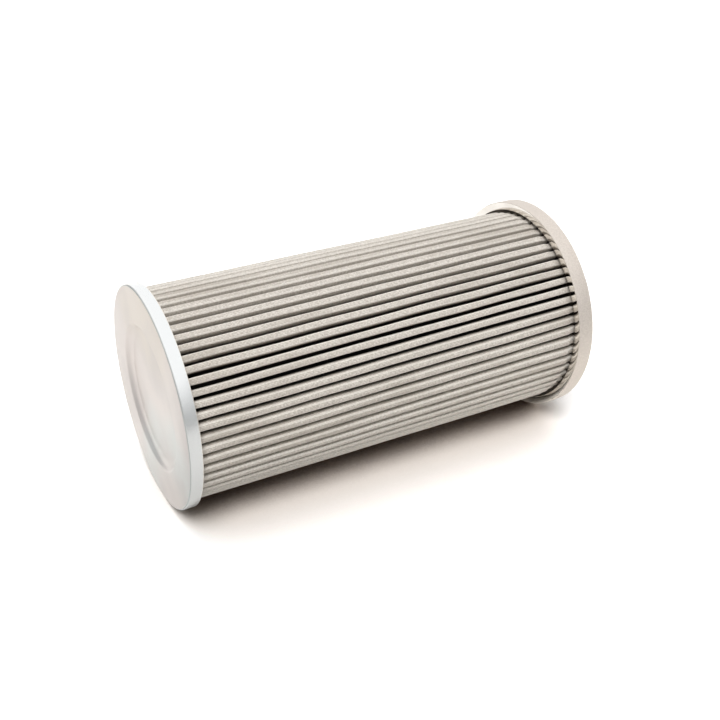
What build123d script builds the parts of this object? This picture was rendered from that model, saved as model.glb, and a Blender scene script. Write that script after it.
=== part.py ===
from build123d import *
import math
import os

# Oil suction filter element: a round screen of pleated wire mesh between a pressed closed cap
# and a turned flange with an outlet neck. Sizes are in millimetres. The element stands on its
# closed cap: the origin is the centre of the cap's outer face, and +Z runs to the outlet.

# Pleated wire mesh
pleat_count = 58
crest_radius = 61.5        # over the outer folds
pleat_depth = 16.7
mesh_sheet = 0.6           # the woven layers, folded together
crest_fill = 0.6           # part of the outer pitch that a crest takes
crown_radius = 4.0         # of a crest's slightly curved top
corner_radius = 1.2        # outside, from a crest's top to its legs
root_fill = 0.5            # part of the inner pitch that a root takes
crown_steps = 2            # flats over a crown, round a corner and round a root
corner_steps = 2
root_steps = 4

# Closed end cap, pressed from sheet, with a dished centre
cap_sheet = 1.0
cap_height = 7.3
cap_bend = 0.8             # bevel outside the rim's bend
cap_to_folds = 2.5         # room between the rim and the outer folds
dish_depth = 3.4
dish_slope = 45.0          # degrees
dish_rounding = 7.0        # from the slope into the dish's floor
dish_steps = 2             # flats round that rounding

# Slotted core tube
core_sheet = 1.0
core_to_dish = 0.3
core_to_folds = 0.3
slot_width = 5.0
slot_length = 26.0
slot_rows = 6
slots_round = 12
core_plain_end = 14.0      # from a tube end to the nearest row of slots

# End flange with the socket that the folds stand in
flange_station = 248.3     # from the closed face to the flange's front
flange_height = 10.4
flange_wall = 4.8          # outside the socket
flange_to_folds = 1.1
flange_back_edge = 1.0
socket_depth = 5.2
lip_to_core = 0.3
lip_wall = 1.7
lip_below_front = 1.8      # from the flange's front to the lip's end

# Bonding resin in both ends
resin_bed = 1.2
resin_below_cap = 1.5
resin_below_flange = 2.0
resin_to_folds = 0.05

# Outlet neck, welded into the back of the flange
neck_wall = 5.5
neck_reach = 15.6          # beyond the flange's back
neck_seat_depth = 3.2
neck_seat_clearance = 0.05
neck_outer_edge = 1.0
neck_inner_edge = 0.8
weld_leg = 2.0             # of the bevel that the bead fills
weld_rise = 1.6            # above the flange's back, along the neck

# Seal ring of square section in its groove
seal_height = 3.6
seal_thickness = 3.5
seal_stand_out = 0.9       # beyond the neck
groove_side_clearance = 0.3
groove_from_flange = 5.3   # from the flange's back to the groove

# Clip over the fold where the two ends of the mesh meet
seam_fold = 24             # counted from +X
clip_sheet = 0.5
clip_to_mesh = 0.05
clip_leg = 4.0
clip_end_gap = 1.0         # from each end's resin


def turned(corners):
    """Revolve a closed section about Z. Each corner is its radius and its height."""
    outline = Polyline([(radius, 0, height) for radius, height in corners], close=True)
    return revolve(make_face(outline), Axis.Z)


def polar(radius, degrees):
    """The point of the XY plane at a radius and an angle from +X."""
    angle = math.radians(degrees)
    return Vector(radius * math.cos(angle), radius * math.sin(angle))


# Radii and stations that follow from the sizes above
cap_radius = crest_radius + cap_to_folds + cap_sheet
root_radius = crest_radius - pleat_depth
core_outer = root_radius - core_to_folds
core_inner = core_outer - core_sheet
dish_inside = core_inner - core_to_dish
dish_radius = dish_inside - cap_sheet * math.tan(math.radians(dish_slope) / 2)
socket_radius = crest_radius + flange_to_folds
flange_radius = socket_radius + flange_wall
lip_radius = core_inner - lip_to_core
bore_radius = lip_radius - lip_wall
socket_floor = flange_station + socket_depth
flange_back = flange_station + flange_height
mesh_start = cap_sheet + resin_bed
mesh_end = socket_floor - resin_bed
mesh_length = mesh_end - mesh_start
neck_radius = bore_radius + neck_wall
neck_start = flange_back - neck_seat_depth
neck_end = flange_back + neck_reach
groove_start = flange_back + groove_from_flange
groove_end = groove_start + seal_height + 2 * groove_side_clearance
groove_radius = neck_radius + seal_stand_out - seal_thickness

# One pleat: a crown, its two corners and a root rounding on the sheet's middle line, and the leg
# that touches a corner and the root, whose normal stands at the leg angle
pitch = 360 / pleat_count
crest_half_width = crest_fill * crest_radius * math.sin(math.radians(pitch / 2))
root_rounding = root_fill * root_radius * math.sin(math.radians(pitch / 2))
crown_centre = Vector(crest_radius - crown_radius, 0)
corner_reach = crown_radius - corner_radius
crown_turn = math.degrees(math.asin((crest_half_width - corner_radius) / corner_reach))
corner_centre = crown_centre + polar(corner_reach, crown_turn)
root_centre = polar(root_radius + root_rounding, pitch / 2)
crown_middle = crown_radius - mesh_sheet / 2
corner_middle = corner_radius - mesh_sheet / 2
root_middle = root_rounding - mesh_sheet / 2
centre_line = root_centre - corner_centre
centre_line_angle = math.degrees(math.atan2(centre_line.Y, centre_line.X))
leg_lean = math.degrees(math.acos((corner_middle + root_middle) / centre_line.length))
leg_angle = centre_line_angle - leg_lean


def arc_points(centre, radius, start, end, steps):
    """Points on an arc about a centre, from a start angle to an end angle, both included."""
    return [centre + polar(radius, start + (end - start) * step / steps) for step in range(steps + 1)]


def crest_line(offset):
    """Points over a crest, corner, crown and corner, at an offset outwards from the sheet's middle."""
    crown = arc_points(crown_centre, crown_middle + offset, 0, crown_turn, crown_steps // 2)
    corner = arc_points(corner_centre, corner_middle + offset, crown_turn, leg_angle, corner_steps)
    half = crown + corner[1:]
    mirrored = [Vector(point.X, -point.Y) for point in half[:0:-1]]
    return mirrored + half


def fold_outline(offset):
    """The closed outline of all the pleats, at an offset outwards from the sheet's middle."""
    crest = crest_line(offset)
    root_start = 180 + leg_angle
    root_end = 180 + pitch - leg_angle
    root = arc_points(root_centre, root_middle - offset, root_start, root_end, root_steps)
    pleat = crest + root
    points = [point.rotate(Axis.Z, pitch * index) for index in range(pleat_count) for point in pleat]
    return Polyline(points, close=True)


def make_pleated_mesh():
    """One strip of woven wire, folded into pleats and closed to a ring."""
    section = make_face(fold_outline(mesh_sheet / 2)) - make_face(fold_outline(-mesh_sheet / 2))
    return Pos(0, 0, mesh_start) * extrude(section, mesh_length)


def grip_line(offset):
    """The line over a crest at an offset, carried on down both legs as far as the clip grips."""
    crest = crest_line(offset)
    down_leg = polar(clip_leg, leg_angle + 90)
    upper_end = crest[-1] + down_leg
    return [Vector(upper_end.X, -upper_end.Y), *crest, upper_end]


def make_seam_clip():
    """A folded strip that grips the outer fold where the mesh's ends meet."""
    start = cap_height - resin_below_cap + clip_end_gap
    end = flange_station + resin_below_flange - clip_end_gap
    inside = mesh_sheet / 2 + clip_to_mesh
    outline = grip_line(inside + clip_sheet) + grip_line(inside)[::-1]
    section = make_face(Polyline(outline, close=True))
    clip = Pos(0, 0, start) * extrude(section, end - start)
    return clip.rotate(Axis.Z, pitch * seam_fold)


def make_core_tube():
    """The slotted tube that holds the pleats against the suction."""
    blank = Pos(0, 0, mesh_start) * extrude(Circle(core_outer) - Circle(core_inner), mesh_length)
    first_row = mesh_start + core_plain_end + slot_length / 2
    row_pitch = (mesh_length - 2 * core_plain_end - slot_length) / (slot_rows - 1)
    turn = 360 / slots_round
    slot = Pos(core_outer, 0, 0) * Box(4 * core_sheet, slot_width, slot_length)
    slots = []
    for row in range(slot_rows):
        for step in range(slots_round):
            angle = turn * (step + row % 2 / 2)
            slots.append(Pos(0, 0, first_row + row * row_pitch) * Rot(0, 0, angle) * slot)
    return blank - slots


def dish_outline(offset):
    """Corners of the dish from its centre to its lip, at an offset upwards from the outer face."""
    slope = math.radians(dish_slope)
    slope_drop = dish_depth - dish_rounding * (1 - math.cos(slope))
    floor_radius = dish_radius - dish_rounding * math.sin(slope) - slope_drop / math.tan(slope)
    corners = [(0, dish_depth + offset)]
    for step in range(dish_steps + 1):
        angle = slope * step / dish_steps
        radius = floor_radius + (dish_rounding + offset) * math.sin(angle)
        height = dish_depth - dish_rounding + (dish_rounding + offset) * math.cos(angle)
        corners.append((radius, height))
    corners.append((dish_radius + offset * math.tan(slope / 2), offset))
    return corners


def make_closed_end_cap():
    """A pressed cup: flat ring, raised rim and dished centre, all of one sheet."""
    inner_rim = cap_radius - cap_sheet
    rim = [
        (cap_radius - cap_bend, 0),
        (cap_radius, cap_bend),
        (cap_radius, cap_height),
        (inner_rim, cap_height),
        (inner_rim, cap_sheet),
    ]
    return turned(dish_outline(0) + rim + dish_outline(cap_sheet)[::-1])


def make_closed_end_resin():
    """The bonding bed in the cap, with a collar round the outer folds."""
    rim = cap_radius - cap_sheet
    collar = crest_radius + resin_to_folds
    return turned([
        (core_inner, cap_sheet),
        (rim, cap_sheet),
        (rim, cap_height - resin_below_cap),
        (collar, cap_height - resin_below_cap),
        (collar, mesh_start),
        (core_inner, mesh_start),
    ])


def make_open_end_resin():
    """The bonding bed in the flange's socket, with a collar round the outer folds."""
    collar = crest_radius + resin_to_folds
    collar_end = flange_station + resin_below_flange
    return turned([
        (lip_radius, mesh_end),
        (collar, mesh_end),
        (collar, collar_end),
        (socket_radius, collar_end),
        (socket_radius, socket_floor),
        (lip_radius, socket_floor),
    ])


def make_end_flange():
    """The turned ring: a socket for the folds in front, a seat for the neck behind."""
    seat_radius = neck_radius + neck_seat_clearance
    lip_end = flange_station + lip_below_front
    return turned([
        (socket_radius, flange_station),
        (flange_radius, flange_station),
        (flange_radius, flange_back - flange_back_edge),
        (flange_radius - flange_back_edge, flange_back),
        (neck_radius + weld_leg, flange_back),
        (seat_radius, flange_back - weld_leg + neck_seat_clearance),
        (seat_radius, neck_start),
        (bore_radius, neck_start),
        (bore_radius, lip_end),
        (lip_radius, lip_end),
        (lip_radius, socket_floor),
        (socket_radius, socket_floor),
    ])


def make_outlet_neck():
    """The short tube that plugs into the suction port, with the seal's groove."""
    return turned([
        (bore_radius, neck_start),
        (neck_radius, neck_start),
        (neck_radius, groove_start),
        (groove_radius, groove_start),
        (groove_radius, groove_end),
        (neck_radius, groove_end),
        (neck_radius, neck_end - neck_outer_edge),
        (neck_radius - neck_outer_edge, neck_end),
        (bore_radius + neck_inner_edge, neck_end),
        (bore_radius, neck_end - neck_inner_edge),
    ])


def make_neck_weld():
    """The weld bead that fills the bevel between the flange's back and the neck."""
    return turned([
        (neck_radius, flange_back - weld_leg),
        (neck_radius + weld_leg, flange_back),
        (neck_radius, flange_back + weld_rise),
    ])


def make_seal_ring():
    """The rubber ring of square section, standing out of its groove."""
    start = groove_start + groove_side_clearance
    return turned([
        (groove_radius, start),
        (groove_radius + seal_thickness, start),
        (groove_radius + seal_thickness, start + seal_height),
        (groove_radius, start + seal_height),
    ])


parts = {
    "pleated_mesh": make_pleated_mesh(),
    "seam_clip": make_seam_clip(),
    "core_tube": make_core_tube(),
    "closed_end_cap": make_closed_end_cap(),
    "closed_end_resin": make_closed_end_resin(),
    "open_end_resin": make_open_end_resin(),
    "end_flange": make_end_flange(),
    "outlet_neck": make_outlet_neck(),
    "neck_weld": make_neck_weld(),
    "seal_ring": make_seal_ring(),
}

os.makedirs("parts", exist_ok=True)
for name, solid in parts.items():
    export_step(solid, f"parts/{name}.step")
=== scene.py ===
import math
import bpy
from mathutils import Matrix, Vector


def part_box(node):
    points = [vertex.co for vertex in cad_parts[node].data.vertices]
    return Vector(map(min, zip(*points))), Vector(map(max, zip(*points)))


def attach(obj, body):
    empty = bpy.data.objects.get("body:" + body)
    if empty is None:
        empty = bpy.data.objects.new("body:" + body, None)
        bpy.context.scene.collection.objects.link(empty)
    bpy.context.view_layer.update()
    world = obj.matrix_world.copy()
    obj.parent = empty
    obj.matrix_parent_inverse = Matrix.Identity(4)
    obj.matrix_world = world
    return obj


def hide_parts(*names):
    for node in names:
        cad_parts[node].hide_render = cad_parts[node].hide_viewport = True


bl_info = {
    "name": "Oil Suction Filter Element",
    "version": (1, 0, 0),
    "blender": (4, 5, 0),
    "location": "3D View > Sidebar > Suction Filter",
    "description": "Dresses the packed solids of a pleated oil suction filter element",
    "category": "Add Mesh",
}

import bmesh
import bpy
from bpy.props import FloatProperty, FloatVectorProperty, IntProperty, PointerProperty
from bpy.types import Operator, Panel, PropertyGroup
from mathutils import Matrix, Vector, noise

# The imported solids. The element stands on its closed end, and +Z runs to the outlet.
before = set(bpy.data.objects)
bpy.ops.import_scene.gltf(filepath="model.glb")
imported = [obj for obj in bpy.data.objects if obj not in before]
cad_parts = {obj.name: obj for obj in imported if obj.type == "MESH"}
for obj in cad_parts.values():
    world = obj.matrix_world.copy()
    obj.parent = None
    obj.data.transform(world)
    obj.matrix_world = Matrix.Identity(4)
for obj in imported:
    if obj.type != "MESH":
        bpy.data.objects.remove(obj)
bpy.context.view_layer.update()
folds_low, folds_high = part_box("pleated_mesh")
cap_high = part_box("closed_end_cap")[1]
flange_low, flange_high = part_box("end_flange")
neck_low, neck_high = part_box("outlet_neck")
core_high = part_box("core_tube")[1]
weld_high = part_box("neck_weld")[1]
seal_low, seal_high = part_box("seal_ring")
clip_low, clip_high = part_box("seam_clip")
cap_resin_low, cap_resin_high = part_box("closed_end_resin")
flange_resin_low, flange_resin_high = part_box("open_end_resin")

RING_STEPS = 144
MERGE = 1e-6
ON_RING = 2e-5
Z_AXIS = (0, 0, 1)
ORIGIN = (0, 0, 0)


def paint(red, green, blue):
    """A colour as it shows on screen, 0 to 255, as the linear value that a socket takes."""
    shares = [tone / 255 for tone in (red, green, blue)]
    return [s / 12.92 if s <= 0.04045 else ((s + 0.055) / 1.055) ** 2.4 for s in shares]


def length(name, description, default):
    """A size in metres."""
    return FloatProperty(name=name, description=description, default=default, unit="LENGTH", precision=5)


def angle(name, description, degrees):
    """An angle, given in degrees."""
    return FloatProperty(name=name, description=description, default=math.radians(degrees), subtype="ANGLE")


def number(name, description, default):
    """A share or another plain number."""
    return FloatProperty(name=name, description=description, default=default)


def count(name, description, default, least=1):
    """A whole number."""
    return IntProperty(name=name, description=description, default=default, min=least)


def direction(name, description, default):
    """A direction from the element: to the viewer's right, away and up."""
    return FloatVectorProperty(name=name, description=description, default=default)


def colour(name, description, default):
    """A colour of a finish."""
    return FloatVectorProperty(
        name=name,
        description=description,
        default=default,
        subtype="COLOR",
        min=0,
        max=1,
    )


class FoldSettings(PropertyGroup):
    """The pleated wire mesh, its clip and its core."""

    pleats: count("Pleats", "Folds round the element", 58, least=12)
    crest_radius: length("Crest radius", "Radius over the outer folds", folds_high.x)
    depth: length("Fold depth", "From the outer folds to the inner folds", 0.0167)
    sheet: length("Mesh sheet", "Thickness of the woven layers together", 0.0006)
    crest_fill: number("Crest width", "Part of the outer pitch in a crest", 0.6)
    crown_radius: length("Crown radius", "Slight curve over a crest's flat top", 0.0040)
    corner_radius: length("Corner radius", "Outside rounding of a crest's corners", 0.0012)
    root_fill: number("Root width", "Part of the inner pitch in a root", 0.5)
    start_turn: angle("Turn at the cap", "Turn of the folds at the closed end", 2.8)
    twist: angle("Twist", "Turn of the folds from end to end", -3.4)
    unevenness: angle("Uneven pitch", "How far folds stand off their even places", 1.42)
    waves: count("Waves", "Waves of the uneven pitch round the element", 3)
    wave_start: angle("Wave start", "Where the waves of the uneven pitch start", 40)
    wander: angle("Wander", "How far a fold wanders along its length", 0.5)
    settle: length("Settling", "How far crests are pressed in here and there", 0.00045)
    end_pinch: length("End pinch", "Press of the fold ends at the flange", 0.0010)
    pinch_reach: length("Pinch reach", "How far before the flange the pinch starts", 0.0028)
    pinch_inside: length("Pinch inside", "How far inside the flange it is complete", 0.0004)
    wire_pitch: length("Wire pitch", "From wire to wire in the weave", 0.00075)
    wire: colour("Wire", "Crowns of the woven wires", paint(237, 231, 222))
    # Painted shade: the weave is darker between the wires' crowns, where shade falls.
    wire_painted_shade: colour("Wire shade", "Between the woven wires", paint(178, 168, 157))
    stain: colour("Stained wire", "Broad stains along the folds", paint(150, 138, 122))
    speckle: colour("Speckled wire", "Fine dull specks in the weave", paint(158, 147, 134))
    # Painted highlight: bright lines along each crest's corners, where the corners catch the light.
    crest_highlight: colour("Worn wire", "Bright lines along a crest's sides", paint(255, 251, 244))
    highlight_share: number("Wear", "How bright the worn lines are", 0.34)
    highlight_from: length("Worn from", "From a crest's middle to the line's near side", 0.0008)
    highlight_to: length("Worn to", "From a crest's middle to the line's far side", 0.0024)
    highlight_fade: length("Worn fade", "Fade at each side of the worn line", 0.0006)
    # Painted shade: the wire darkens deep between the folds, where shade falls, from one depth to the next.
    gap: colour("Gap wire", "Wire deep between the folds", paint(48, 41, 34))
    groove_shade_from: length("Gap from", "Depth where the wire starts to darken", 0.0020)
    groove_shade_to: length("Gap to", "Depth where the wire is darkest", 0.0070)
    clip_sheet: length("Clip sheet", "Thickness of the seam clip", 0.0005)
    clip_play: length("Clip play", "Between the seam clip and its fold", 0.00005)
    clip_leg: length("Clip leg", "How far the seam clip grips down the fold", 0.004)
    clip_coat: colour("Clip coat", "The seam clip's zinc coat", paint(196, 196, 194))
    seam_fold: count("Seam fold", "The fold where the mesh's ends meet", 24)
    core_sheet: length("Core sheet", "Wall of the slotted core", 0.001)
    slots_round: count("Slots round", "Slots in one row of the core", 12)
    slot_rows: count("Slot rows", "Rows of slots along the core", 6)
    slot_width: length("Slot width", "Width of a core slot", 0.005)
    slot_length: length("Slot length", "Length of a core slot", 0.026)
    core_plain_end: length("Core plain end", "From a core end to its nearest slots", 0.014)
    galvanised: colour("Galvanised", "The core's zinc coat", paint(172, 176, 178))
    spangle: colour("Spangle", "The darker crystals of a zinc coat", paint(140, 146, 150))


class ClosedEndSettings(PropertyGroup):
    """The pressed cap, and the resin at both ends."""

    radius: length("Cap radius", "Outside of the cap's rim", cap_high.x)
    height: length("Cap height", "Height of the rim", cap_high.z)
    sheet: length("Cap sheet", "Thickness of the pressed sheet", 0.001)
    rim_bend: length("Rim bend", "Outside rounding of the rim", 0.0013)
    cut_edge: length("Cut edge", "Rounding of the rim's cut edge", 0.00015)
    dish_radius: length("Dish radius", "Lip of the dished centre", 0.04279)
    dish_depth: length("Dish depth", "How deep the centre is pressed", 0.0034)
    dish_slope: angle("Dish slope", "How steeply the dish's wall stands", 45)
    dish_foot: length("Dish foot", "Rounding of the dish's foot", 0.0030)
    dish_lip: length("Dish lip", "Rounding of the dish's lip", 0.0008)
    plating: colour("Plating", "Satin plated sheet", paint(225, 218, 214))
    plating_shade: colour("Plating shade", "Duller patches of the plating", paint(211, 206, 204))
    plating_warm: colour("Warm plating", "Where the plating yellows", paint(222, 214, 205))
    plating_cool: colour("Cool plating", "Where the plating turns grey green", paint(216, 219, 217))
    # The rim's cooler coat, made brighter as a painted highlight.
    rim_plating_and_highlight: colour("Rim plating", "The rim's brighter, cooler coat", paint(247, 249, 249))
    # Painted shade: a darker line where the rim bends.
    bend_shade_line: colour("Crease", "The line where the rim bends", paint(196, 201, 201))
    cut_metal: colour("Cut metal", "The rim's bright cut edge", paint(255, 250, 238))
    resin_bore: length("Resin bore", "Inside of the resin beds", 0.0437)
    resin_sag: length("Resin sag", "How far the resin's skin sinks", 0.0006)
    resin_creep: length("Resin creep", "Width of the resin that creeps up the wall", 0.0008)
    resin: colour("Resin", "Cured bonding resin", paint(62, 56, 50))
    resin_pits: colour("Resin pits", "The skin between the resin's pits", paint(92, 84, 74))


class OutletEndSettings(PropertyGroup):
    """The flange, the neck, its weld and its seal."""

    flange_radius: length("Flange radius", "Outside of the flange", flange_high.x)
    front: length("Flange front", "Station of the flange's front face", flange_low.z)
    back: length("Flange back", "Station of the flange's back face", flange_high.z)
    wall: length("Flange wall", "Wall outside the socket", 0.0048)
    socket_depth: length("Socket depth", "From the front to the socket's floor", 0.0052)
    edge: length("Flange edge", "Rounding round the flange's back", 0.001)
    fine_edge: length("Fine edge", "Rounding of the flange's front edges", 0.0003)
    bore_radius: length("Bore radius", "The outlet's clear bore", 0.0415)
    lip_wall: length("Lip wall", "Wall of the lip that holds the core", 0.0017)
    lip_drop: length("Lip drop", "From the flange's front to the lip's end", 0.0018)
    lip_edge: length("Lip edge", "Rounding of the lip's end in the bore", 0.0004)
    neck_radius: length("Neck radius", "Outside of the outlet neck", neck_high.x)
    neck_start: length("Neck start", "Where the neck sits in the flange", neck_low.z)
    neck_end: length("Neck end", "The neck's open end", neck_high.z)
    neck_edge: length("Neck edge", "Outside rounding of the neck's open end", 0.001)
    neck_bore_edge: length("Neck bore edge", "Inside rounding of the neck's open end", 0.0008)
    seat_play: length("Seat play", "Between the neck and its seat in the flange", 0.00005)
    weld_leg: length("Weld leg", "Bevel that the weld fills", 0.002)
    ripples: count("Weld ripples", "Ripples round the weld bead", 110)
    ripple_height: length("Ripple height", "How high a weld ripple stands", 0.00022)
    groove_radius: length("Groove radius", "Floor of the seal's groove", 0.0444)
    groove_play: length("Groove play", "Free width at each side of the seal", 0.0003)
    groove_edge: length("Groove edge", "Rounding of the groove's edges", 0.0002)
    seal_edge: length("Seal edge", "Rounding of the seal's outer edges", 0.0005)
    turned: colour("Turned steel", "The flange's glossy faces", paint(251, 248, 243))
    turned_shade: colour("Turned shade", "Duller patches of the faces", paint(212, 203, 194))
    blasted: colour("Blasted rim", "The flange's matt rim", paint(228, 219, 210))
    blasted_shade: colour("Blasted shade", "The rim's darker grit", paint(204, 194, 184))
    neck: colour("Neck steel", "The neck's bright steel", paint(205, 202, 198))
    neck_smear: colour("Neck smear", "Dull smears round the neck", paint(182, 177, 171))
    weld: colour("Weld metal", "The weld bead", paint(150, 145, 140))
    weld_scale: colour("Weld scale", "Dark scale on the bead", paint(98, 90, 84))
    heat_tint: colour("Heat tint", "Where the bead is tinted by heat", paint(138, 112, 84))
    rubber: colour("Rubber", "The seal ring", paint(34, 34, 36))
    bloom: colour("Bloom", "The grey bloom on the rubber", paint(74, 73, 72))


class StageSettings(PropertyGroup):
    """The floor, the lamps and the camera, as the element lies on its side in the photograph."""

    heading: angle("Heading", "Turn of the axis away from the viewer's right", 28.0859)
    camera_down: angle("Camera tilt", "How far the camera looks down", 29.8744)
    camera_place: FloatVectorProperty(
        name="Camera place",
        description="From the closed face's centre: to the right, away and up",
        default=(0.11775, -0.48708, 0.30460),
        unit="LENGTH",
    )
    lens: number("Lens", "Focal length in millimetres", 51.315)
    sensor: number("Sensor", "Width of the camera's sensor in millimetres", 36)
    floor: colour("Floor", "The floor's paper", paint(250, 248, 245))
    # Painted shade: the paper in front is dimmer in gloss, a painted fall-off of light.
    floor_front_painted_shade: colour("Floor in front", "The paper in front, as gloss shows it", paint(212, 211, 209))
    shade_reach: length("Shade reach", "How near a piece must be to shade the paper", 0.25)
    shade_deep: colour("Deep shade", "The paper right under the object", (0.10, 0.050, 0.032))
    shade_warm: colour("Warm shade", "The paper round it", (0.84, 0.775, 0.72))
    floor_gain: number("Floor gain", "How bright the camera sees the paper", 1.3)
    floor_size: length("Floor size", "Half the floor's side", 6.0)
    wall_radius: length("Wall radius", "From the closed face's centre to the walls", 0.8)
    wall_height: length("Wall height", "How high the walls stand over the axis", 0.56)
    wall_foot: length("Wall foot", "How far the walls reach below the axis", 0.064)
    wall_sweep: angle("Wall sweep", "How far the walls go round", 253)
    surround: number("Surround", "Strength of the surround for diffuse light", 0.24)
    overhead: direction("Overhead lamp", "Where the overhead lamp stands", (0.05, 0.35, 0.93))
    overhead_strength: number("Overhead strength", "Strength of the overhead lamp", 0.8)
    overhead_spread: angle("Overhead spread", "How wide the overhead lamp looks", 60)
    front: direction("Front lamp", "Where the front lamp stands", (0.0, -0.55, 0.835))
    front_strength: number("Front strength", "Strength of the front lamp", 2.45)
    front_spread: angle("Front spread", "How wide the front lamp looks", 28)


class Finish:
    """A procedural material, whose nodes are added and wired with these methods."""

    def __init__(self, name, metallic=0.0, **sockets):
        self.material = bpy.data.materials.new(name)
        self.material.use_nodes = True
        self.tree = self.material.node_tree
        self.shader = self.tree.nodes["Principled BSDF"]
        self.feed("Metallic", metallic)
        for socket, value in sockets.items():
            self.feed(socket.replace("_", " "), value)

    def feed(self, name, value):
        """Wire a value to the shader, or set it there where it is the same all over."""
        self.put(self.shader.inputs[name], value)

    def put(self, socket, value):
        """Wire or set one socket. A colour of three numbers gets its full alpha."""
        if isinstance(value, bpy.types.NodeSocket):
            self.tree.links.new(value, socket)
        elif socket.type == "RGBA":
            socket.default_value = (*value[:3], 1)
        else:
            socket.default_value = value

    def coat(self, tint, roughness, normal):
        """Give the shader its colour, roughness and relief, and return the finished material."""
        self.feed("Base Color", tint)
        self.feed("Roughness", roughness)
        self.feed("Normal", normal)
        return self.material

    def show(self, surface):
        """Put a surface of other shaders in the place of the usual one."""
        self.tree.nodes.remove(self.shader)
        self.put(self.tree.nodes["Material Output"].inputs["Surface"], surface)

    def add(self, kind, inputs, **options):
        """Add a node with its options, and put its inputs in place."""
        node = self.tree.nodes.new(kind)
        for option, value in options.items():
            setattr(node, option, value)
        for key, value in inputs.items():
            self.put(node.inputs[key], value)
        return node

    def reckon(self, operation, first, second=0.0):
        """One step of arithmetic."""
        return self.add("ShaderNodeMath", {0: first, 1: second}, operation=operation).outputs[0]

    def times(self, first, second):
        """The product of two values."""
        return self.reckon("MULTIPLY", first, second)

    def place(self):
        """The point on the piece, and its three coordinates."""
        point = self.add("ShaderNodeTexCoord", {}).outputs["Object"]
        split = self.add("ShaderNodeSeparateXYZ", {0: point})
        return point, split.outputs["X"], split.outputs["Y"], split.outputs["Z"]

    def radius(self, x, y):
        """The distance from the element's axis."""
        return self.reckon("SQRT", self.reckon("ADD", self.times(x, x), self.times(y, y)))

    def stretched(self, point, scale):
        """The point with its axes stretched, for a pattern that runs along one of them."""
        return self.add("ShaderNodeMapping", {"Vector": point, "Scale": scale}).outputs[0]

    def cloud(self, point, scale, detail=2.0, roughness=0.5):
        """Soft noise from 0 to 1. The scale is about its number of cells to a metre."""
        inputs = {"Vector": point, "Scale": scale, "Detail": detail, "Roughness": roughness}
        return self.add("ShaderNodeTexNoise", inputs).outputs["Fac"]

    def ribs(self, value, rate):
        """Waves from -1 to 1 along a value, at a rate in radians to a metre."""
        return self.reckon("SINE", self.times(value, rate))

    def rise(self, value, low, high, to_low=0.0, to_high=1.0):
        """Fit a value from one range to another, smoothly and no further."""
        inputs = {"Value": value, "From Min": low, "From Max": high, "To Min": to_low, "To Max": to_high}
        return self.add("ShaderNodeMapRange", inputs, interpolation_type="SMOOTHSTEP").outputs[0]

    def blend(self, share, first, second):
        """A colour between two. The node's colours are its inputs 6 and 7, and its output 2."""
        node = self.add("ShaderNodeMix", {}, data_type="RGBA")
        self.put(node.inputs["Factor"], share)
        self.put(node.inputs[6], first)
        self.put(node.inputs[7], second)
        return node.outputs[2]

    def relief(self, height, distance, strength=1.0, over=None):
        """Raise the surface by a height from 0 to 1 times a distance in metres."""
        inputs = {"Height": height, "Distance": distance, "Strength": strength}
        node = self.add("ShaderNodeBump", inputs)
        if over is not None:
            self.put(node.inputs["Normal"], over)
        return node.outputs[0]


def woven_wire(folds):
    """Plain weave of round wires, with painted shade between the wires and deep in the folds, and painted
    highlights along the crests' corners. The sheet's UV map runs along the fold and up the element, in
    metres.
    """
    finish = Finish("woven_wire", metallic=0.12)
    point, x, y, _ = finish.place()
    sheet = finish.add("ShaderNodeUVMap", {}, uv_map="sheet").outputs[0]
    split = finish.add("ShaderNodeSeparateXYZ", {0: sheet})
    across = finish.ribs(split.outputs["X"], math.pi / folds.wire_pitch)
    along = finish.ribs(split.outputs["Y"], math.pi / folds.wire_pitch)
    crossing = finish.times(across, along)
    warp = finish.reckon("ADD", finish.reckon("ABSOLUTE", across), crossing)
    weft = finish.reckon("SUBTRACT", finish.reckon("ABSOLUTE", along), crossing)
    weave = finish.times(finish.reckon("MAXIMUM", warp, weft), 0.5)
    grain = finish.cloud(point, 900.0, detail=3.0)
    crown = finish.times(weave, finish.rise(grain, 0.2, 0.8, 0.7, 1.2))
    # Painted shade between the wires' crowns.
    wires = finish.blend(finish.rise(crown, 0.05, 0.75), folds.wire_painted_shade, folds.wire)
    stain = finish.cloud(finish.stretched(point, (1, 1, 0.25)), 55.0, detail=3.0)
    stained = finish.blend(finish.rise(stain, 0.45, 0.75, 0.0, 0.35), wires, folds.stain)
    speckle = finish.cloud(point, 850.0, detail=3.0, roughness=0.7)
    dulled = finish.blend(finish.rise(speckle, 0.4, 0.62, 0.0, 0.42), stained, folds.speckle)
    off_crest = finish.reckon("ABSOLUTE", split.outputs["X"])
    # Painted highlight along each crest's corners.
    on_line = finish.rise(off_crest, folds.highlight_from, folds.highlight_from + folds.highlight_fade)
    past_line = finish.rise(off_crest, folds.highlight_to - folds.highlight_fade, folds.highlight_to, folds.highlight_share, 0.0)
    crest_highlight = finish.blend(finish.times(on_line, past_line), dulled, folds.crest_highlight)
    # Painted shade deep between the folds, by distance from the axis.
    darkest = folds.crest_radius - folds.groove_shade_to
    clear = folds.crest_radius - folds.groove_shade_from
    deep = finish.rise(finish.radius(x, y), darkest, clear, 1.0, 0.0)
    tint = finish.blend(deep, crest_highlight, folds.gap)
    rough = finish.rise(grain, 0.3, 0.7, 0.5, 0.68)
    woven = finish.relief(crown, 0.00022, 0.7)
    return finish.coat(tint, rough, finish.relief(speckle, 0.0004, 0.4, over=woven))


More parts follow.
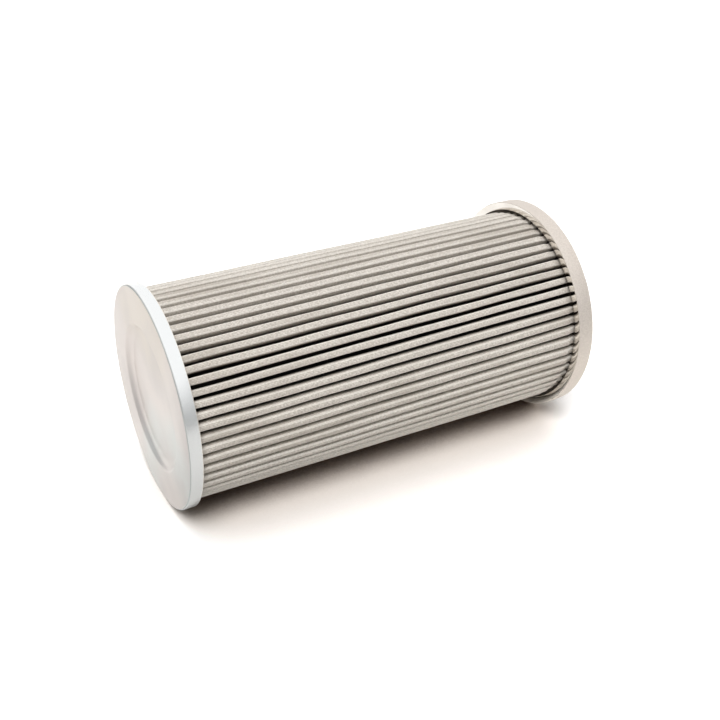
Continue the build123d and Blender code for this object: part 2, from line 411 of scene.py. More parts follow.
def plated_sheet(closed_end):
    """Satin plated sheet with the faint rings of its pressing, a cooler rim made brighter by a painted
    highlight, a painted shade line where the rim bends, and a bare cut edge.
    """
    finish = Finish("cap_steel")
    point, x, y, z = finish.place()
    radius = finish.radius(x, y)
    mottle = finish.cloud(point, 24.0, detail=5.0)
    drift = finish.cloud(point, 9.0, detail=1.0)
    warm = finish.blend(finish.rise(drift, 0.52, 0.66), closed_end.plating, closed_end.plating_warm)
    cool = finish.blend(finish.rise(drift, 0.34, 0.48, 1.0, 0.0), warm, closed_end.plating_cool)
    patches = finish.blend(finish.rise(mottle, 0.4, 0.7, 0.0, 0.6), cool, closed_end.plating_shade)
    # The rim's brighter colour is partly a painted highlight.
    rim = finish.rise(radius, closed_end.radius - 0.0006, closed_end.radius - 0.0001)
    zinc = finish.blend(rim, patches, closed_end.rim_plating_and_highlight)
    # Painted shade along the line where the rim bends.
    at_bend = finish.rise(radius, closed_end.radius - 0.0011, closed_end.radius - 0.0005)
    low = finish.rise(z, 0.0002, 0.0007, 1.0, 0.0)
    bend_shaded = finish.blend(finish.times(at_bend, low), zinc, closed_end.bend_shade_line)
    at_cut = finish.rise(z, closed_end.height - 0.0004, closed_end.height - 0.0002)
    tint = finish.blend(at_cut, bend_shaded, closed_end.cut_metal)
    dull = finish.rise(mottle, 0.3, 0.75, 0.28, 0.36)
    rough = finish.reckon("SUBTRACT", dull, finish.times(rim, 0.12))
    finish.feed("Metallic", finish.rise(rim, 0.0, 1.0, 0.85, 1.0))
    rings = finish.times(finish.ribs(radius, 5200.0), 0.3)
    bands = finish.times(finish.ribs(z, 7800.0), rim)
    pressed = finish.relief(finish.reckon("ADD", bands, rings), 0.000006, 0.6)
    grain = finish.cloud(point, 1500.0)
    return finish.coat(tint, rough, finish.relief(grain, 0.00002, 0.35, over=pressed))


def flange_steel(outlet):
    """Steel with turned glossy faces and a matt blasted rim."""
    finish = Finish("flange_steel")
    point, x, y, _ = finish.place()
    radius = finish.radius(x, y)
    rim = finish.rise(radius, outlet.flange_radius - 0.0005, outlet.flange_radius - 0.0002)
    grit = finish.cloud(point, 1100.0, detail=3.0)
    cloudy = finish.cloud(point, 45.0, detail=3.0)
    matt = finish.blend(finish.rise(grit, 0.3, 0.7, 0.0, 0.5), outlet.blasted, outlet.blasted_shade)
    face = finish.blend(finish.rise(cloudy, 0.4, 0.7, 0.0, 0.4), outlet.turned, outlet.turned_shade)
    tint = finish.blend(rim, face, matt)
    finish.feed("Metallic", finish.rise(rim, 0.0, 1.0, 1.0, 0.65))
    rough = finish.rise(rim, 0.0, 1.0, 0.08, 0.46)
    turned = finish.relief(finish.ribs(radius, 21000.0), 0.000002, 0.25)
    return finish.coat(tint, rough, finish.relief(finish.times(grit, rim), 0.00008, 0.5, over=turned))


def neck_steel(outlet):
    """Bright turned steel with the fine thread-like marks of the lathe."""
    finish = Finish("neck_steel", metallic=0.95)
    point, _, _, z = finish.place()
    smear = finish.cloud(finish.stretched(point, (1, 1, 6)), 60.0, detail=4.0)
    tint = finish.blend(finish.rise(smear, 0.4, 0.7), outlet.neck, outlet.neck_smear)
    rough = finish.rise(smear, 0.3, 0.7, 0.2, 0.34)
    return finish.coat(tint, rough, finish.relief(finish.ribs(z, 16000.0), 0.000004, 0.4))


def weld_metal(outlet):
    """A fillet of weld metal with heat tint and scale."""
    finish = Finish("weld_metal", metallic=0.9)
    point, *_ = finish.place()
    scale = finish.cloud(point, 260.0, detail=4.0)
    heat = finish.cloud(point, 70.0)
    grey = finish.blend(finish.rise(scale, 0.35, 0.7), outlet.weld, outlet.weld_scale)
    tint = finish.blend(finish.rise(heat, 0.5, 0.7, 0.0, 0.5), grey, outlet.heat_tint)
    rough = finish.rise(scale, 0.3, 0.7, 0.3, 0.55)
    return finish.coat(tint, rough, finish.relief(scale, 0.0001, 0.5))


def bonding_resin(closed_end):
    """Cured resin with a skin of small pits."""
    finish = Finish("bonding_resin", Specular_IOR_Level=0.4)
    point, *_ = finish.place()
    skin = finish.cloud(point, 160.0, detail=4.0)
    tint = finish.blend(finish.rise(skin, 0.35, 0.7), closed_end.resin, closed_end.resin_pits)
    return finish.coat(tint, 0.38, finish.relief(skin, 0.0003, 0.5))


def seal_rubber(outlet):
    """Black rubber with a grey bloom."""
    finish = Finish("seal_rubber", Specular_IOR_Level=0.35)
    point, *_ = finish.place()
    bloom = finish.cloud(point, 90.0, detail=5.0)
    tint = finish.blend(finish.rise(bloom, 0.45, 0.8, 0.0, 0.5), outlet.rubber, outlet.bloom)
    rough = finish.rise(bloom, 0.3, 0.7, 0.48, 0.66)
    return finish.coat(tint, rough, finish.relief(finish.cloud(point, 1600.0), 0.00003, 0.4))


def galvanised_steel(name, coat, spangle):
    """Zinc coated sheet with its spangle of small crystals."""
    finish = Finish(name, metallic=0.85)
    point, *_ = finish.place()
    cells = {"Vector": point, "Scale": 420.0}
    crystals = finish.add("ShaderNodeTexVoronoi", cells, feature="F1").outputs["Color"]
    tone = finish.add("ShaderNodeSeparateColor", {0: crystals}).outputs[0]
    tint = finish.blend(finish.rise(tone, 0.0, 1.0, 0.0, 0.4), coat, spangle)
    rough = finish.rise(tone, 0.0, 1.0, 0.32, 0.5)
    return finish.coat(tint, rough, finish.relief(finish.cloud(point, 400.0), 0.00004, 0.4))


def turn_about_axis(corners, closed=True, steps=RING_STEPS):
    """Spin a section about the element's axis. Each corner is its radius and its height."""
    bm = bmesh.new()
    points = [bm.verts.new((radius, 0, height)) for radius, height in corners]
    ends = points[1:] + points[:1] if closed else points[1:]
    sides = [bm.edges.new(pair) for pair in zip(points, ends)]
    full = 2 * math.pi
    bmesh.ops.spin(bm, geom=points + sides, cent=ORIGIN, axis=Z_AXIS, angle=full, steps=steps, use_merge=True)
    bmesh.ops.remove_doubles(bm, verts=bm.verts, dist=MERGE)
    bmesh.ops.recalc_face_normals(bm, faces=bm.faces)
    return bm


def round_ring(bm, radius, height, width, segments):
    """Round the circular edge that stands at a radius and a height."""

    def on_ring(vert):
        off = Vector((vert.co.xy.length - radius, vert.co.z - height))
        return off.length < ON_RING

    ring = [edge for edge in bm.edges if all(on_ring(vert) for vert in edge.verts)]
    bmesh.ops.bevel(
        bm,
        geom=ring,
        offset=width,
        segments=segments,
        profile=0.5,
        affect="EDGES",
        material=-1,
        clamp_overlap=True,
    )


def make_object(bm, mesh_name, name, material):
    """Make a bmesh an object of the scene."""
    mesh = bpy.data.meshes.new(mesh_name)
    bm.to_mesh(mesh)
    bm.free()
    mesh.materials.append(material)
    made = bpy.data.objects.new(name, mesh)
    bpy.context.scene.collection.objects.link(made)
    return made


def finish_piece(bm, name, material, sharp=30.0):
    """Make a bmesh a piece of the element that stands for the solid of its name."""
    piece = make_object(bm, name, f"{name}_finished", material)
    piece.data.shade_smooth()
    piece.data.set_sharp_from_angle(angle=math.radians(sharp))
    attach(piece, "root")
    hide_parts(name)
    return piece


def give_wall(piece, thickness):
    """Give a sheet its thickness, half to each side, with crisp cut edges."""
    wall = piece.modifiers.new("wall", "SOLIDIFY")
    wall.thickness = thickness
    wall.offset = 0
    wall.use_even_offset = True
    edges = piece.modifiers.new("cut_edges", "EDGE_SPLIT")
    edges.split_angle = math.radians(60)


class FoldShape:
    """The line of one pleat on the sheet's middle: a flattened crest, its corners, the legs and the root."""

    def __init__(self, folds):
        self.pitch = 2 * math.pi / folds.pleats
        half = self.pitch / 2
        root_radius = folds.crest_radius - folds.depth
        root_rounding = folds.root_fill * root_radius * math.sin(half)
        corner_reach = folds.crown_radius - folds.corner_radius
        half_width = folds.crest_fill * folds.crest_radius * math.sin(half)
        self.top_turn = math.asin((half_width - folds.corner_radius) / corner_reach)
        self.top_centre = Vector((folds.crest_radius - folds.crown_radius, 0, 0))
        self.top_bend = folds.crown_radius - folds.sheet / 2
        to_corner = Vector((math.cos(self.top_turn), math.sin(self.top_turn), 0))
        self.corner_centre = self.top_centre + corner_reach * to_corner
        self.corner_bend = folds.corner_radius - folds.sheet / 2
        self.root_bend = root_rounding - folds.sheet / 2
        root_reach = root_radius + root_rounding
        self.root_centre = Vector((root_reach * math.cos(half), root_reach * math.sin(half), 0))
        line = self.root_centre - self.corner_centre
        lean = math.acos((self.corner_bend + self.root_bend) / line.length)
        self.leg_angle = math.atan2(line.y, line.x) - lean


def spin_on(bm, vert, centre, turn, steps):
    """Carry a vertex round a centre and return the last one of its arc."""
    made = bmesh.ops.spin(bm, geom=[vert], cent=centre, axis=Z_AXIS, angle=turn, steps=steps)
    return made["geom_last"][0]


def draw_crest(bm, shape, stand_off, top_steps, corner_steps=4):
    """Draw half a crest, from the middle of its top round its corner, and return the leg's start."""
    top = bm.verts.new(shape.top_centre + Vector((shape.top_bend + stand_off, 0, 0)))
    corner = spin_on(bm, top, shape.top_centre, shape.top_turn, top_steps)
    return spin_on(bm, corner, shape.corner_centre, shape.leg_angle - shape.top_turn, corner_steps)


def draw_leg(bm, start, place):
    """Draw a straight line from a vertex to a place, and return its end."""
    end = bmesh.ops.extrude_vert_indiv(bm, verts=[start])["verts"][0]
    end.co = place
    return end


def mirror_pleat(bm):
    """Complete a pleat, or a strip that follows it, from its half."""
    bmesh.ops.mirror(bm, geom=bm.verts[:] + bm.edges[:], axis="Y", merge_dist=MERGE)


def copy_round(bm, pitch, copies):
    """Repeat a line round the axis until it closes to a ring."""
    bmesh.ops.spin(
        bm,
        geom=bm.verts[:] + bm.edges[:],
        cent=ORIGIN,
        axis=Z_AXIS,
        angle=2 * math.pi - pitch,
        steps=copies - 1,
        use_duplicate=True,
    )
    bmesh.ops.remove_doubles(bm, verts=bm.verts, dist=MERGE)


def lift(bm, climbs):
    """Draw a line up the element to a sheet. Each climb is its height and its number of steps."""
    ring = bm.verts[:] + bm.edges[:]
    for climb, steps in climbs:
        rise = (0, 0, climb / steps)
        made = bmesh.ops.spin(bm, geom=ring, cent=ORIGIN, axis=Z_AXIS, dvec=rise, angle=0, steps=steps)
        ring = made["geom_last"]
    bmesh.ops.recalc_face_normals(bm, faces=bm.faces)


def smooth_share(value, low, high):
    """How far a value has come from low to high, with soft ends."""
    share = min(max((value - low) / (high - low), 0.0), 1.0)
    return share * share * (3 - 2 * share)


def set_by_hand(bm, folds):
    """Move the folds as hand setting does: twisted, uneven, and pressed in at the flange."""
    # How often the noise changes: round the element, and in a metre along it.
    cells_round = 7
    cells_along = 22
    settling_cells = 0.8
    settling_start = Vector((9, 4, 0))
    pinch_low = flange_low.z - folds.pinch_reach
    pinch_high = flange_low.z + folds.pinch_inside
    for vert in bm.verts:
        radius = vert.co.xy.length
        azimuth = math.atan2(vert.co.y, vert.co.x)
        height = vert.co.z
        way = (height - folds_low.z) / (folds_high.z - folds_low.z)
        turned = folds.start_turn + folds.twist * way
        turned -= folds.unevenness * math.cos(folds.waves * azimuth + folds.wave_start)
        around = Vector((math.cos(azimuth), math.sin(azimuth), 0))
        cell = cells_round * around + Vector((0, 0, cells_along * height))
        turned += folds.wander * noise.noise(cell)
        outwards = (radius - folds.crest_radius + folds.depth) / folds.depth
        unevenly = 0.5 + 0.5 * noise.noise(cell * settling_cells + settling_start)
        pinch = folds.end_pinch * smooth_share(height, pinch_low, pinch_high)
        radius -= max(outwards, 0) ** 3 * (folds.settle * unevenly + pinch)
        azimuth += turned
        vert.co = (radius * math.cos(azimuth), radius * math.sin(azimuth), height)


class FILTER_OT_pleated_mesh(Operator):
    """Fold the woven wire into its pleats and close them to a ring"""

    bl_idname = "filter.pleated_mesh"
    bl_label = "Pleated Mesh"

    def execute(self, context):
        folds = context.scene.filter_folds
        shape = FoldShape(folds)
        bm = bmesh.new()
        way = bm.verts.layers.float.new("way")
        leg_top = draw_crest(bm, shape, 0.0, top_steps=2)
        toward_crest = Matrix.Rotation(math.pi + shape.leg_angle, 3, "Z") @ Vector((shape.root_bend, 0, 0))
        leg_end = draw_leg(bm, leg_top, shape.root_centre + toward_crest)
        spin_on(bm, leg_end, shape.root_centre, shape.pitch / 2 - shape.leg_angle, 3)
        gone = 0.0
        chain = list(bm.verts)
        for before, vert in zip(chain, chain[1:]):
            gone += (vert.co - before.co).length
            vert[way] = gone
        mirror_pleat(bm)
        copy_round(bm, shape.pitch, folds.pleats)
        bmesh.ops.translate(bm, verts=bm.verts, vec=(0, 0, folds_low.z))
        # Close rows carry the pinch at the flange, from a little before it to a little inside.
        pinch_start = flange_low.z - 0.006
        pinch_run = 0.0065
        lift(bm, [
            (pinch_start - folds_low.z, 24),
            (pinch_run, 6),
            (folds_high.z - pinch_start - pinch_run, 1),
        ])
        sheet = bm.loops.layers.uv.new("sheet")
        for face in bm.faces:
            middle = face.calc_center_median()
            share = math.atan2(middle.y, middle.x) / shape.pitch % 1
            side = 1 if share < 0.5 else -1
            for loop in face.loops:
                loop[sheet].uv = (side * loop.vert[way], loop.vert.co.z)
        set_by_hand(bm, folds)
        piece = finish_piece(bm, "pleated_mesh", woven_wire(folds), sharp=80)
        give_wall(piece, folds.sheet)
        return {"FINISHED"}


class FILTER_OT_seam_clip(Operator):
    """Clip a folded strip over the fold where the mesh's ends meet"""

    bl_idname = "filter.seam_clip"
    bl_label = "Seam Clip"

    def execute(self, context):
        folds = context.scene.filter_folds
        shape = FoldShape(folds)
        stand_off = folds.sheet / 2 + folds.clip_sheet / 2 + folds.clip_play
        bm = bmesh.new()
        leg_top = draw_crest(bm, shape, stand_off, top_steps=3)
        draw_leg(bm, leg_top, leg_top.co - Vector((folds.clip_leg, 0, 0)))
        mirror_pleat(bm)
        turned = Matrix.Rotation(shape.pitch * folds.seam_fold, 3, "Z")
        bmesh.ops.rotate(bm, verts=bm.verts, cent=ORIGIN, matrix=turned)
        bmesh.ops.translate(bm, verts=bm.verts, vec=(0, 0, clip_low.z))
        lift(bm, [(clip_high.z - clip_low.z, 60)])
        set_by_hand(bm, folds)
        bright = galvanised_steel("clip_steel", folds.clip_coat, folds.spangle)
        piece = finish_piece(bm, "seam_clip", bright, sharp=50)
        give_wall(piece, folds.clip_sheet)
        return {"FINISHED"}


class FILTER_OT_core_tube(Operator):
    """Roll the slotted core tube"""

    bl_idname = "filter.core_tube"
    bl_label = "Core Tube"

    def execute(self, context):
        folds = context.scene.filter_folds
        middle = core_high.x - folds.core_sheet / 2
        turn = 2 * math.pi / folds.slots_round
        half_slot = folds.slot_width / middle / 2
        web = turn / 2 - 2 * half_slot
        run = core_high.z - folds_low.z
        row_pitch = (run - 2 * folds.core_plain_end - folds.slot_length) / (folds.slot_rows - 1)
        land = row_pitch - folds.slot_length
        bm = bmesh.new()
        end = bm.verts.new((middle, 0, folds_low.z))
        for sweep, steps in ((half_slot, 1), (web, 3), (half_slot, 1)) * 2:
            end = spin_on(bm, end, ORIGIN, sweep, steps)
        copy_round(bm, turn, folds.slots_round)
        climbs = [(folds.core_plain_end, 3)]
        for _ in range(folds.slot_rows - 1):
            climbs += [(folds.slot_length, 1), (land, 1)]
        climbs += [(folds.slot_length, 1), (folds.core_plain_end, 3)]
        lift(bm, climbs)
        punched = []
        first_row = folds_low.z + folds.core_plain_end + folds.slot_length / 2
        for face in bm.faces:
            centre = face.calc_center_median()
            row = (centre.z - first_row) / row_pitch
            if abs(row - round(row)) > 0.01 or not -0.5 < row < folds.slot_rows - 0.5:
                continue
            share = math.atan2(centre.y, centre.x) / turn - round(row) % 2 / 2
            if abs(share - round(share)) * turn < half_slot:
                punched.append(face)
        bmesh.ops.delete(bm, geom=punched, context="FACES")
        zinc = galvanised_steel("core_steel", folds.galvanised, folds.spangle)
        piece = finish_piece(bm, "core_tube", zinc)
        give_wall(piece, folds.core_sheet)
        return {"FINISHED"}


class FILTER_OT_closed_cap(Operator):
    """Press the closed end's cap with its dished centre"""

    bl_idname = "filter.closed_cap"
    bl_label = "Closed Cap"

    def execute(self, context):
        closed_end = context.scene.filter_closed_end
        sheet = closed_end.sheet
        lip = closed_end.dish_radius
        foot = lip - closed_end.dish_depth / math.tan(closed_end.dish_slope)
        inset = sheet * math.tan(closed_end.dish_slope / 2)
        inner_rim = closed_end.radius - sheet
        bm = turn_about_axis([
            (0, closed_end.dish_depth),
            (foot, closed_end.dish_depth),
            (lip, 0),
            (closed_end.radius, 0),
            (closed_end.radius, closed_end.height),
            (inner_rim, closed_end.height),
            (inner_rim, sheet),
            (lip + inset, sheet),
            (foot + inset, closed_end.dish_depth + sheet),
            (0, closed_end.dish_depth + sheet),
        ], closed=False)
        round_ring(bm, foot, closed_end.dish_depth, closed_end.dish_foot, 6)
        round_ring(bm, foot + inset, closed_end.dish_depth + sheet, closed_end.dish_foot, 3)
        round_ring(bm, lip, 0, closed_end.dish_lip, 3)
        round_ring(bm, closed_end.radius, 0, closed_end.rim_bend, 5)
        round_ring(bm, closed_end.radius, closed_end.height, closed_end.cut_edge, 2)
        finish_piece(bm, "closed_end_cap", plated_sheet(closed_end), sharp=60)
        return {"FINISHED"}


class FILTER_OT_resin_beds(Operator):
    """Pour the bonding resin into both ends"""

    bl_idname = "filter.resin_beds"
    bl_label = "Resin Beds"

    def execute(self, context):
        closed_end = context.scene.filter_closed_end
        inner = closed_end.resin_bore
        # The skin sinks most in the middle, and unevenly.
        middle_sag = 1.4
        uneven_sag = 0.4
        cells_in_a_metre = 160
        material = bonding_resin(closed_end)
        beds = {
            "closed_end_resin": (cap_resin_low.z, cap_resin_high.z),
            "open_end_resin": (flange_resin_high.z, flange_resin_low.z),
        }
        for name, (floor, skin) in beds.items():
            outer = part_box(name)[1].x
            sag = math.copysign(closed_end.resin_sag, skin - floor)
            bm = turn_about_axis([
                (inner, floor),
                (outer, floor),
                (outer, skin),
                (outer - closed_end.resin_creep, skin - sag),
                ((outer + inner) / 2, skin - sag * middle_sag),
                (inner, skin - sag),
            ])
            for vert in bm.verts:
                if abs(vert.co.z - floor) > 0.001:
                    unevenly = 1 + noise.noise(vert.co * cells_in_a_metre)
                    vert.co.z -= sag * uneven_sag * unevenly
            finish_piece(bm, name, material, sharp=60)
        return {"FINISHED"}


class FILTER_OT_end_flange(Operator):
    """Turn the flange with its socket for the folds and its seat for the neck"""

    bl_idname = "filter.end_flange"
    bl_label = "End Flange"

    def execute(self, context):
        outlet = context.scene.filter_outlet_end
        socket = outlet.flange_radius - outlet.wall
        socket_floor = outlet.front + outlet.socket_depth
        lip = outlet.bore_radius + outlet.lip_wall
        lip_end = outlet.front + outlet.lip_drop
        seat = outlet.neck_radius + outlet.seat_play
        bm = turn_about_axis([
            (socket, outlet.front),
            (outlet.flange_radius, outlet.front),
            (outlet.flange_radius, outlet.back),
            (outlet.neck_radius + outlet.weld_leg, outlet.back),
            (seat, outlet.back - outlet.weld_leg),
            (seat, outlet.neck_start),
            (outlet.bore_radius, outlet.neck_start),
            (outlet.bore_radius, lip_end),
            (lip, lip_end),
            (lip, socket_floor),
            (socket, socket_floor),
        ])
        round_ring(bm, outlet.flange_radius, outlet.back, outlet.edge, 4)
        round_ring(bm, outlet.flange_radius, outlet.front, outlet.fine_edge, 2)
        round_ring(bm, socket, outlet.front, outlet.fine_edge, 2)
        round_ring(bm, outlet.bore_radius, lip_end, outlet.lip_edge, 2)
        finish_piece(bm, "end_flange", flange_steel(outlet))
        return {"FINISHED"}


class FILTER_OT_outlet_neck(Operator):
    """Turn the outlet neck with the seal's groove"""

    bl_idname = "filter.outlet_neck"
    bl_label = "Outlet Neck"

    def execute(self, context):
        outlet = context.scene.filter_outlet_end
        groove_low = seal_low.z - outlet.groove_play
        groove_high = seal_high.z + outlet.groove_play
        neck = outlet.neck_radius
        bm = turn_about_axis([
            (outlet.bore_radius, outlet.neck_start),
            (neck, outlet.neck_start),
            (neck, groove_low),
            (outlet.groove_radius, groove_low),
            (outlet.groove_radius, groove_high),
            (neck, groove_high),
            (neck, outlet.neck_end),
            (outlet.bore_radius, outlet.neck_end),
        ])
        round_ring(bm, neck, outlet.neck_end, outlet.neck_edge, 3)
        round_ring(bm, outlet.bore_radius, outlet.neck_end, outlet.neck_bore_edge, 3)
        round_ring(bm, neck, groove_low, outlet.groove_edge, 2)
        round_ring(bm, neck, groove_high, outlet.groove_edge, 2)
        finish_piece(bm, "outlet_neck", neck_steel(outlet))
        return {"FINISHED"}


class FILTER_OT_neck_weld(Operator):
    """Lay the weld bead between the flange's back and the neck"""

    bl_idname = "filter.neck_weld"
    bl_label = "Neck Weld"

    def execute(self, context):
        outlet = context.scene.filter_outlet_end
        root = Vector((outlet.neck_radius, outlet.back - outlet.weld_leg))
        toe = Vector((outlet.neck_radius + outlet.weld_leg, outlet.back))
        top = Vector((outlet.neck_radius, weld_high.z))
        bulge = Vector((0.00035, 0.0003))
        crown = (toe + top) / 2 + bulge
        face = [toe, toe.lerp(crown, 0.55), crown, crown.lerp(top, 0.55), top]
        bm = turn_about_axis([root, *face], steps=4 * outlet.ripples)
        # The bead's own ends stay where the flange and the neck meet it. The ripples trail
        # toward the toe by an angle, and are roughened by cells so many to a metre.
        clear = 0.0001
        trail = 2.2
        roughening = 0.6
        rough_cells = 420
        for vert in bm.verts:
            radius = vert.co.xy.length
            if vert.co.z > outlet.back + clear and radius > outlet.neck_radius + clear:
                azimuth = math.atan2(vert.co.y, vert.co.x)
                lag = trail * (radius - outlet.neck_radius) / outlet.weld_leg
                wave = 0.5 + 0.5 * math.sin(azimuth * outlet.ripples + lag)
                wave += roughening * noise.noise(vert.co * rough_cells)
                outwards = Vector((vert.co.x, vert.co.y, radius)).normalized()
                vert.co += outwards * outlet.ripple_height * (wave - 0.5)
        finish_piece(bm, "neck_weld", weld_metal(outlet), sharp=60)
        return {"FINISHED"}


class FILTER_OT_seal_ring(Operator):
    """Mould the seal ring of square section"""

    bl_idname = "filter.seal_ring"
    bl_label = "Seal Ring"

    def execute(self, context):
        outlet = context.scene.filter_outlet_end
        outer = seal_high.x
        bm = turn_about_axis([
            (outlet.groove_radius, seal_low.z),
            (outer, seal_low.z),
            (outer, seal_high.z),
            (outlet.groove_radius, seal_high.z),
        ])
        round_ring(bm, outer, seal_low.z, outlet.seal_edge, 4)
        round_ring(bm, outer, seal_high.z, outlet.seal_edge, 4)
        finish_piece(bm, "seal_ring", seal_rubber(outlet), sharp=60)
        return {"FINISHED"}


def lying(heading, right, away, up):
    """A direction as the photograph's viewer sees it, where the element lies on its side."""
    across = -math.sin(heading) * right + math.cos(heading) * away
    along = math.cos(heading) * right + math.sin(heading) * away
    return Vector((-across, -up, along))


def paper_floor(stage):
    """Pale paper that the camera sees as white, and only from above, with a warm shade where it is hidden,
    and a painted fall-off of light toward the front for other rays.
    """
    # Where the shades start and end, as shares of the open space over the paper.
    deep_to_warm = (0.06, 0.34)
    warm_to_white = (0.28, 0.86)
    deep_in_gloss = (0.0, 0.16)
    # Where the painted fall-off of light on the paper runs from dim in front to bright behind, as distances
    # behind the closed face's centre.
    falls_off = (-0.06, 0.05)
    finish = Finish("paper_floor")
    seen = finish.add("ShaderNodeLightPath", {}).outputs["Is Camera Ray"]
    open_share = finish.add("ShaderNodeAmbientOcclusion", {"Distance": stage.shade_reach}).outputs["AO"]
    under = finish.blend(finish.rise(open_share, *deep_to_warm), stage.shade_deep, stage.shade_warm)
    white = [stage.floor_gain] * 3
    bright = finish.blend(finish.rise(open_share, *warm_to_white), under, white)
    shown = finish.add("ShaderNodeBsdfDiffuse", {"Color": bright}).outputs[0]
    point, *_ = finish.place()
    away = lying(stage.heading, 0, 1, 0)
    depth = finish.add("ShaderNodeVectorMath", {0: point, 1: away}, operation="DOT_PRODUCT").outputs["Value"]
    # Painted fall-off of light, dim in front and bright behind, seen by all rays but the camera's.
    painted_fall_off = finish.blend(finish.rise(depth, *falls_off), stage.floor_front_painted_shade, stage.floor)
    shaded = finish.blend(finish.rise(open_share, *deep_in_gloss), stage.shade_deep, painted_fall_off)
    plain = finish.add("ShaderNodeBsdfDiffuse", {"Color": shaded}).outputs[0]
    paper = finish.add("ShaderNodeMixShader", {0: seen, 1: plain, 2: shown}).outputs[0]
    behind = finish.add("ShaderNodeNewGeometry", {}).outputs["Backfacing"]
    clear = finish.add("ShaderNodeBsdfTransparent", {}).outputs[0]
    hidden = finish.times(behind, seen)
    finish.show(finish.add("ShaderNodeMixShader", {0: hidden, 1: paper, 2: clear}).outputs[0])
    return finish.material


def light_world(ambient):
    """A white surround for the camera, for gloss and through clear things, and a dimmer one for the rest."""
    world = bpy.data.worlds.new("studio")
    world.use_nodes = True
    tree = world.node_tree
    rays = tree.nodes.new("ShaderNodeLightPath")
    shown = rays.outputs["Is Camera Ray"]
    for kind in ("Is Glossy Ray", "Is Transmission Ray"):
        either = tree.nodes.new("ShaderNodeMath")
        either.operation = "MAXIMUM"
        tree.links.new(shown, either.inputs[0])
        tree.links.new(rays.outputs[kind], either.inputs[1])
        shown = either.outputs[0]
    strength = tree.nodes.new("ShaderNodeMapRange")
    tree.links.new(shown, strength.inputs["Value"])
    strength.inputs["To Min"].default_value = ambient
    strength.inputs["To Max"].default_value = 1.0
    background = tree.nodes["Background"]
    background.inputs["Color"].default_value = (1, 1, 1, 1)
    tree.links.new(strength.outputs[0], background.inputs["Strength"])
    bpy.context.scene.world = world


def stand_walls(stage):
    """The dim room round the viewer's side of the floor, which only gloss sees."""
    # The walls are brightest at the top, and dimmest from just below the element's axis down.
    bright = 0.9
    dim = 0.44
    dimmest_at = 0.03
    finish = Finish("studio_walls")
    _, _, y, _ = finish.place()
    dusk = finish.rise(y, -stage.wall_height, dimmest_at, bright, dim)
    finish.show(finish.add("ShaderNodeEmission", {"Strength": dusk}).outputs[0])
    bm = bmesh.new()
    # The first post stands to the viewer's right, a little behind the element.
    side = stage.wall_radius * lying(stage.heading, 1, 0.2, 0)
    foot = bm.verts.new(side + Vector((0, stage.wall_foot, 0)))
    top = bm.verts.new(side - Vector((0, stage.wall_height, 0)))
    post = [foot, top, bm.edges.new((foot, top))]
    bmesh.ops.spin(bm, geom=post, cent=ORIGIN, axis=(0, 1, 0), angle=stage.wall_sweep, steps=24)
    walls = make_object(bm, "studio_walls", "studio_walls", finish.material)
    walls.visible_camera = False
    walls.visible_shadow = False
    walls.visible_diffuse = False


def lay_floor(stage, closed_end, outlet):
    """Lay the paper under the cap's rim and the flange's rim, which it touches."""
    lean = math.atan2(outlet.flange_radius - closed_end.radius, outlet.front)
    upright = Matrix.Rotation(math.pi / 2 - lean, 3, "X")
    bm = bmesh.new()
    bmesh.ops.create_grid(bm, x_segments=1, y_segments=1, size=stage.floor_size)
    bmesh.ops.rotate(bm, verts=bm.verts, cent=ORIGIN, matrix=upright)
    bmesh.ops.translate(bm, verts=bm.verts, vec=(0, closed_end.radius, 0))
    make_object(bm, "paper_floor", "paper_floor", paper_floor(stage))


def hang_sun(name, place, strength, spread):
    """A soft far lamp that stands in a direction, and that gloss doesn't show."""
    lamp = bpy.data.lights.new(name, "SUN")
    lamp.energy = strength
    lamp.angle = spread
    holder = bpy.data.objects.new(name, lamp)
    holder.visible_glossy = False
    holder.rotation_mode = "QUATERNION"
    holder.rotation_quaternion = place.to_track_quat("Z", "Y")
    bpy.context.scene.collection.objects.link(holder)


def set_camera(stage):
    """Set the camera where the photograph was taken."""
    right = lying(stage.heading, 1, 0, 0)
    forward = lying(stage.heading, 0, math.cos(stage.camera_down), -math.sin(stage.camera_down))
    camera_data = bpy.data.cameras.new("photo_camera")
    camera_data.lens = stage.lens
    camera_data.sensor_width = stage.sensor
    camera = bpy.data.objects.new("photo_camera", camera_data)
    axes = Matrix((right, right.cross(forward), -forward)).transposed()
    camera.matrix_world = axes.to_4x4()
    camera.location = lying(stage.heading, *stage.camera_place)
    bpy.context.scene.collection.objects.link(camera)
    bpy.context.scene.camera = camera


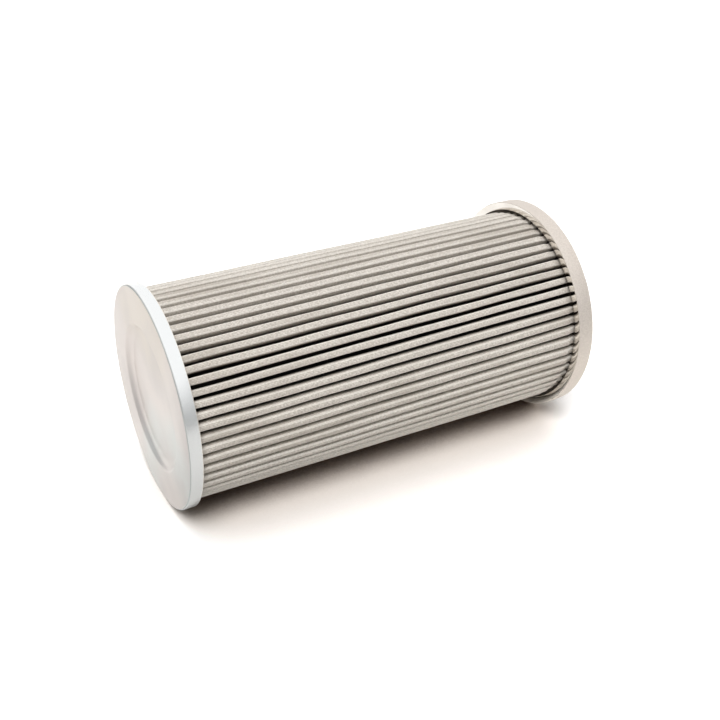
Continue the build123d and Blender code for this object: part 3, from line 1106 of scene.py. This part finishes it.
class FILTER_OT_stage(Operator):
    """Set the floor, the lamps and the camera"""

    bl_idname = "filter.stage"
    bl_label = "Stage"

    def execute(self, context):
        stage = context.scene.filter_stage
        overhead = lying(stage.heading, *stage.overhead)
        front = lying(stage.heading, *stage.front)
        set_camera(stage)
        lay_floor(stage, context.scene.filter_closed_end, context.scene.filter_outlet_end)
        light_world(stage.surround)
        stand_walls(stage)
        hang_sun("overhead", overhead, stage.overhead_strength, stage.overhead_spread)
        hang_sun("front", front, stage.front_strength, stage.front_spread)
        context.scene.view_settings.view_transform = "Standard"
        return {"FINISHED"}


class FILTER_PT_pieces(Panel):
    """The filter element's pieces, each made by its own button"""

    bl_idname = "FILTER_PT_pieces"
    bl_label = "Suction Filter"
    bl_space_type = "VIEW_3D"
    bl_region_type = "UI"
    bl_category = "Suction Filter"

    def draw(self, context):
        for operator in piece_operators:
            self.layout.operator(operator.bl_idname)


piece_operators = (
    FILTER_OT_stage,
    FILTER_OT_pleated_mesh,
    FILTER_OT_seam_clip,
    FILTER_OT_core_tube,
    FILTER_OT_closed_cap,
    FILTER_OT_resin_beds,
    FILTER_OT_end_flange,
    FILTER_OT_outlet_neck,
    FILTER_OT_neck_weld,
    FILTER_OT_seal_ring,
)
setting_groups = {
    "filter_folds": FoldSettings,
    "filter_closed_end": ClosedEndSettings,
    "filter_outlet_end": OutletEndSettings,
    "filter_stage": StageSettings,
}


def register():
    for group in setting_groups.values():
        bpy.utils.register_class(group)
    for name, group in setting_groups.items():
        setattr(bpy.types.Scene, name, PointerProperty(type=group))
    for operator in piece_operators:
        bpy.utils.register_class(operator)
    bpy.utils.register_class(FILTER_PT_pieces)


def unregister():
    bpy.utils.unregister_class(FILTER_PT_pieces)
    for operator in reversed(piece_operators):
        bpy.utils.unregister_class(operator)
    for name, group in setting_groups.items():
        delattr(bpy.types.Scene, name)
        bpy.utils.unregister_class(group)


def main():
    register()
    bpy.ops.filter.stage()
    bpy.ops.filter.pleated_mesh()
    bpy.ops.filter.seam_clip()
    bpy.ops.filter.core_tube()
    bpy.ops.filter.closed_cap()
    bpy.ops.filter.resin_beds()
    bpy.ops.filter.end_flange()
    bpy.ops.filter.outlet_neck()
    bpy.ops.filter.neck_weld()
    bpy.ops.filter.seal_ring()


if __name__ == "__main__":
    main()
